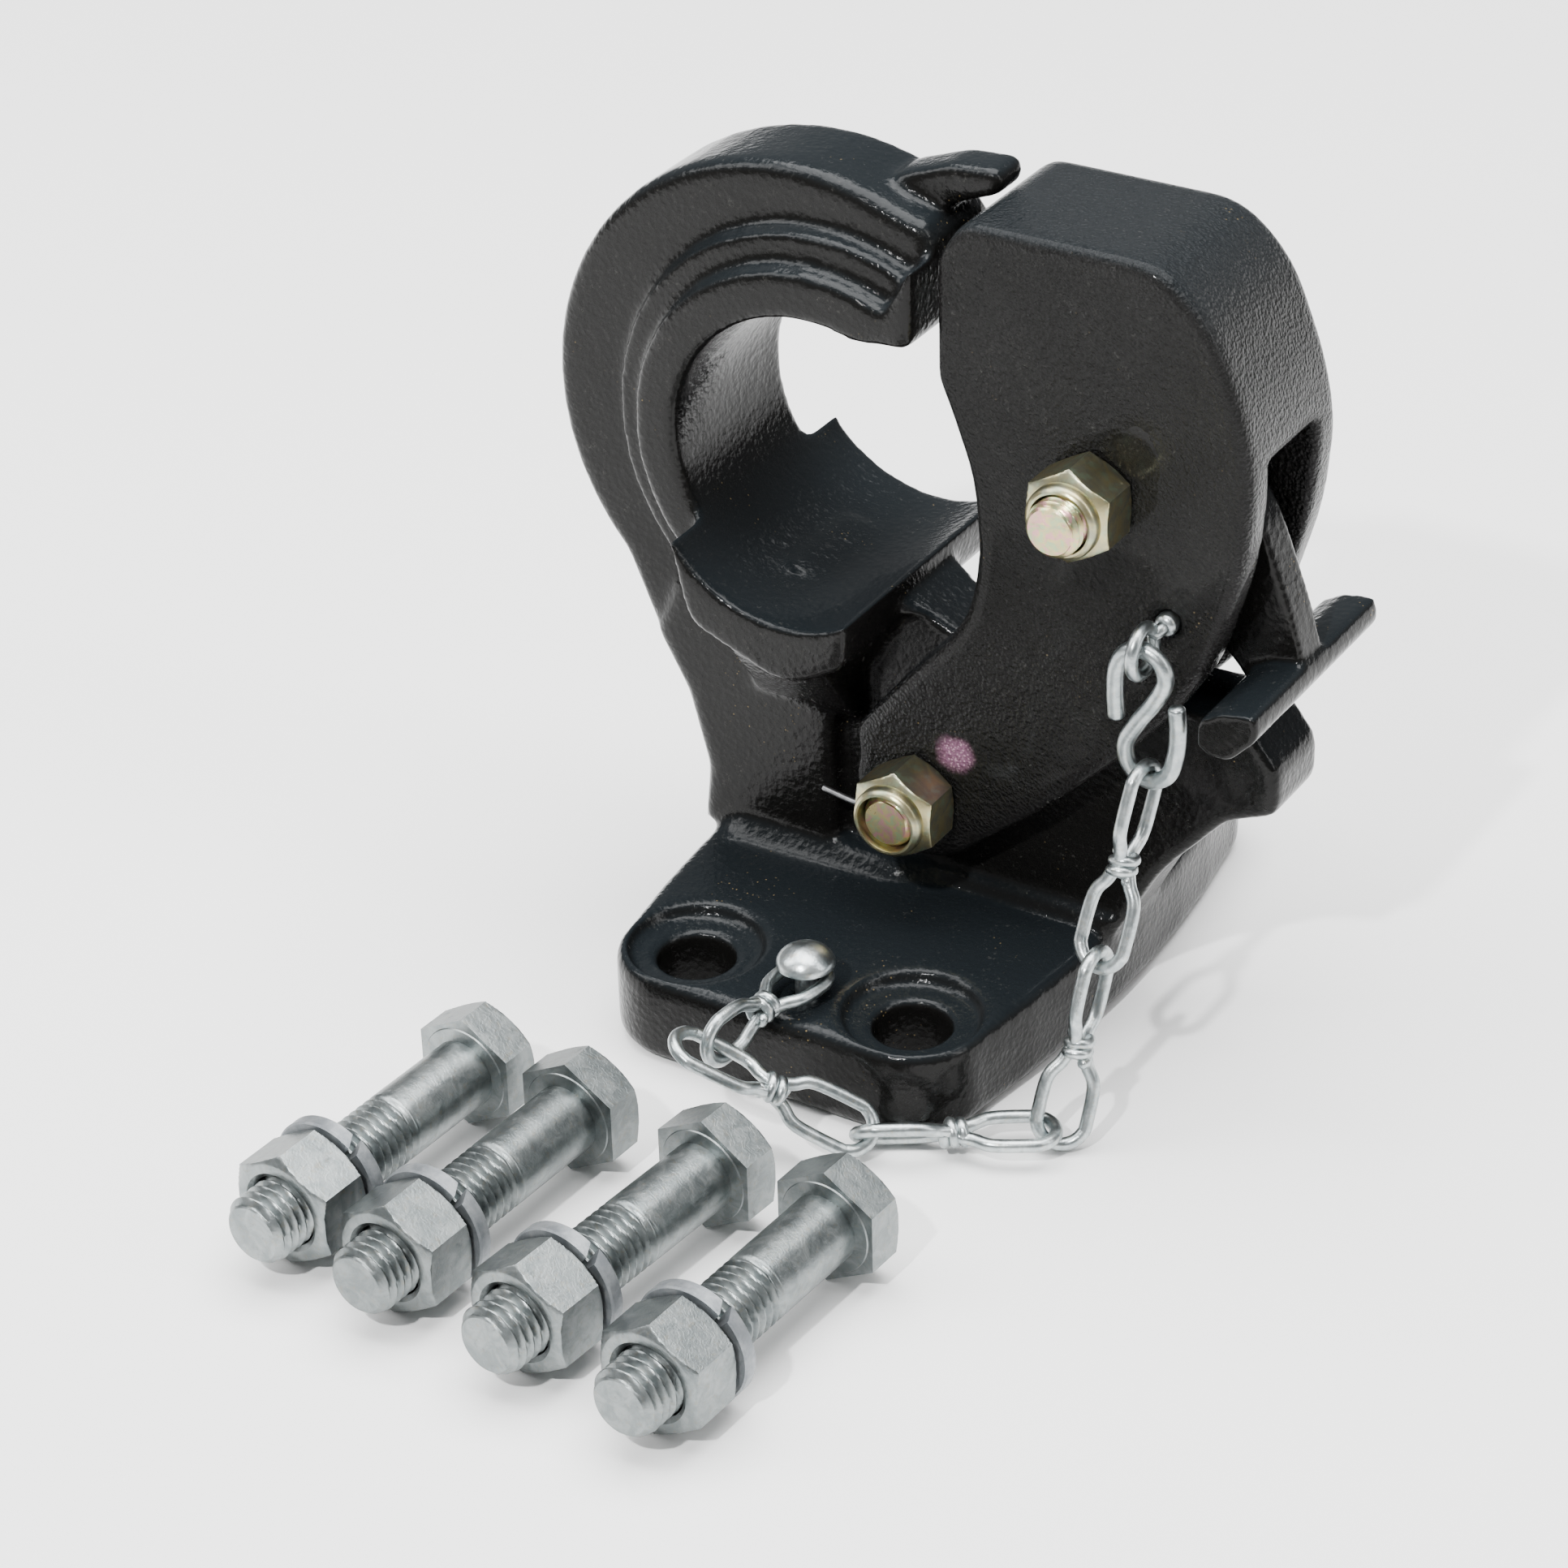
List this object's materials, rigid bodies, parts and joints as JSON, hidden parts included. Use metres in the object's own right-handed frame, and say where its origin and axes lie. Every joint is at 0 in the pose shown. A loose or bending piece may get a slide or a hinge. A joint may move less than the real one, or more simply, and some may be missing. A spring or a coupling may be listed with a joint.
{
  "type": "pintle hook with latch, safety chain and mounting bolts",
  "caption": "Heavy forged pintle towing hook on a drilled mounting plate, with a cast latch, lock handle, chained lock pin and loose bolts, nuts and split washers.",
  "frame": {"origin": "centre of the plate's flat mounting face, with the plate standing on it", "axes": "+Z out of the mounting face towards the horn, +X towards the latch, +Y across the hook along the plate, away from the loose bolts"},
  "size_m": [0.1851, 0.2754, 0.1954],
  "materials": {
    "black_paint": "gloss paint over a forged surface",
    "cast_paint": "gloss paint over a rough cast surface",
    "yellow_zinc": "yellow chromate zinc plate",
    "bright_zinc": "bright zinc plate",
    "dull_zinc": "dull mechanical zinc plate",
    "spring_steel": "bare spring wire"
  },
  "bodies": {
    "hook": {"hook_body": "black_paint", "latch_pivot_bolt": "yellow_zinc", "latch_pivot_nut": "yellow_zinc", "latch_spring": "spring_steel", "chain_rivet": "bright_zinc", "chain_link_3": "bright_zinc", "chain_link_4": "bright_zinc", "chain_link_5": "bright_zinc", "mounting_bolt_1": "bright_zinc", "mounting_bolt_2": "bright_zinc", "mounting_bolt_3": "bright_zinc", "mounting_bolt_4": "bright_zinc"},
    "latch": {"latch": "cast_paint", "handle_pivot_bolt": "yellow_zinc", "handle_pivot_nut": "yellow_zinc", "handle_spring": "spring_steel"},
    "lock_handle": {"lock_handle": "black_paint"},
    "lock_pin": {"lock_pin": "bright_zinc"},
    "s_hook": {"s_hook": "bright_zinc"},
    "chain_link_2": {"chain_link_2": "bright_zinc"},
    "chain_link_1": {"chain_link_1": "bright_zinc"},
    "nut_1": {"mounting_nut_1": "bright_zinc"},
    "washer_1": {"lock_washer_1": "dull_zinc"},
    "nut_2": {"mounting_nut_2": "bright_zinc"},
    "washer_2": {"lock_washer_2": "dull_zinc"},
    "nut_3": {"mounting_nut_3": "bright_zinc"},
    "washer_3": {"lock_washer_3": "dull_zinc"},
    "nut_4": {"mounting_nut_4": "bright_zinc"},
    "washer_4": {"lock_washer_4": "dull_zinc"}
  },
  "joints": [
    {"name": "latch_hinge", "type": "hinge", "parent": "hook", "child": "latch", "pos_m": [0.007, 0, 0.05], "axis": [0, 1, 0], "range_deg": [0, 50]},
    {"name": "handle_hinge", "type": "hinge", "parent": "latch", "child": "lock_handle", "pos_m": [0.05, 0, 0.136], "axis": [0, -1, 0], "range_deg": [0, 25]},
    {"name": "lock_pin_slide", "type": "slide", "parent": "latch", "child": "lock_pin", "axis": [0, -1, 0], "range_m": [0, 0.012]},
    {"name": "s_hook_swing", "type": "hinge", "parent": "lock_pin", "child": "s_hook", "pos_m": [0.0665, -0.0285, 0.107], "axis": [0, 1, 0], "range_deg": [-25, 0]},
    {"name": "chain_link_2_fall", "type": "hinge", "parent": "hook", "child": "chain_link_2", "pos_m": [0.066, -0.064, 0.004], "axis": [0.8012, -0.4014, -0.4438], "range_deg": [0, 24]},
    {"name": "chain_link_1_fold", "type": "hinge", "parent": "chain_link_2", "child": "chain_link_1", "pos_m": [0.06663, -0.04777, 0.03771], "axis": [-0.9993, 0.0386, 0], "range_deg": [0, 145]},
    {"name": "nut_1_run_off", "type": "slide", "parent": "hook", "child": "nut_1", "axis": [-0.0698, -0.9976, 0], "range_m": [0, 0.007]},
    {"name": "washer_1_slide", "type": "slide", "parent": "hook", "child": "washer_1", "axis": [0.0698, 0.9976, 0], "range_m": [0, 0.025]},
    {"name": "nut_2_run_off", "type": "slide", "parent": "hook", "child": "nut_2", "axis": [-0.0698, -0.9976, 0], "range_m": [0, 0.007]},
    {"name": "washer_2_slide", "type": "slide", "parent": "hook", "child": "washer_2", "axis": [0.0698, 0.9976, 0], "range_m": [0, 0.025]},
    {"name": "nut_3_run_off", "type": "slide", "parent": "hook", "child": "nut_3", "axis": [-0.1045, -0.9945, 0], "range_m": [0, 0.007]},
    {"name": "washer_3_slide", "type": "slide", "parent": "hook", "child": "washer_3", "axis": [0.1045, 0.9945, 0], "range_m": [0, 0.025]},
    {"name": "nut_4_run_off", "type": "slide", "parent": "hook", "child": "nut_4", "axis": [-0.0698, -0.9976, 0], "range_m": [0, 0.007]},
    {"name": "washer_4_slide", "type": "slide", "parent": "hook", "child": "washer_4", "axis": [0.0698, 0.9976, 0], "range_m": [0, 0.025]}
  ],
  "couplings": [
    {"joint": "handle_hinge", "follows": "latch_hinge", "ratio": 0.5},
    {"joint": "lock_pin_slide", "follows": "latch_hinge", "m_per_rad": 0.01375},
    {"joint": "s_hook_swing", "follows": "latch_hinge", "ratio": -0.5},
    {"joint": "chain_link_2_fall", "follows": "latch_hinge", "ratio": 0.48},
    {"joint": "chain_link_1_fold", "follows": "latch_hinge", "ratio": 2.9}
  ]
}
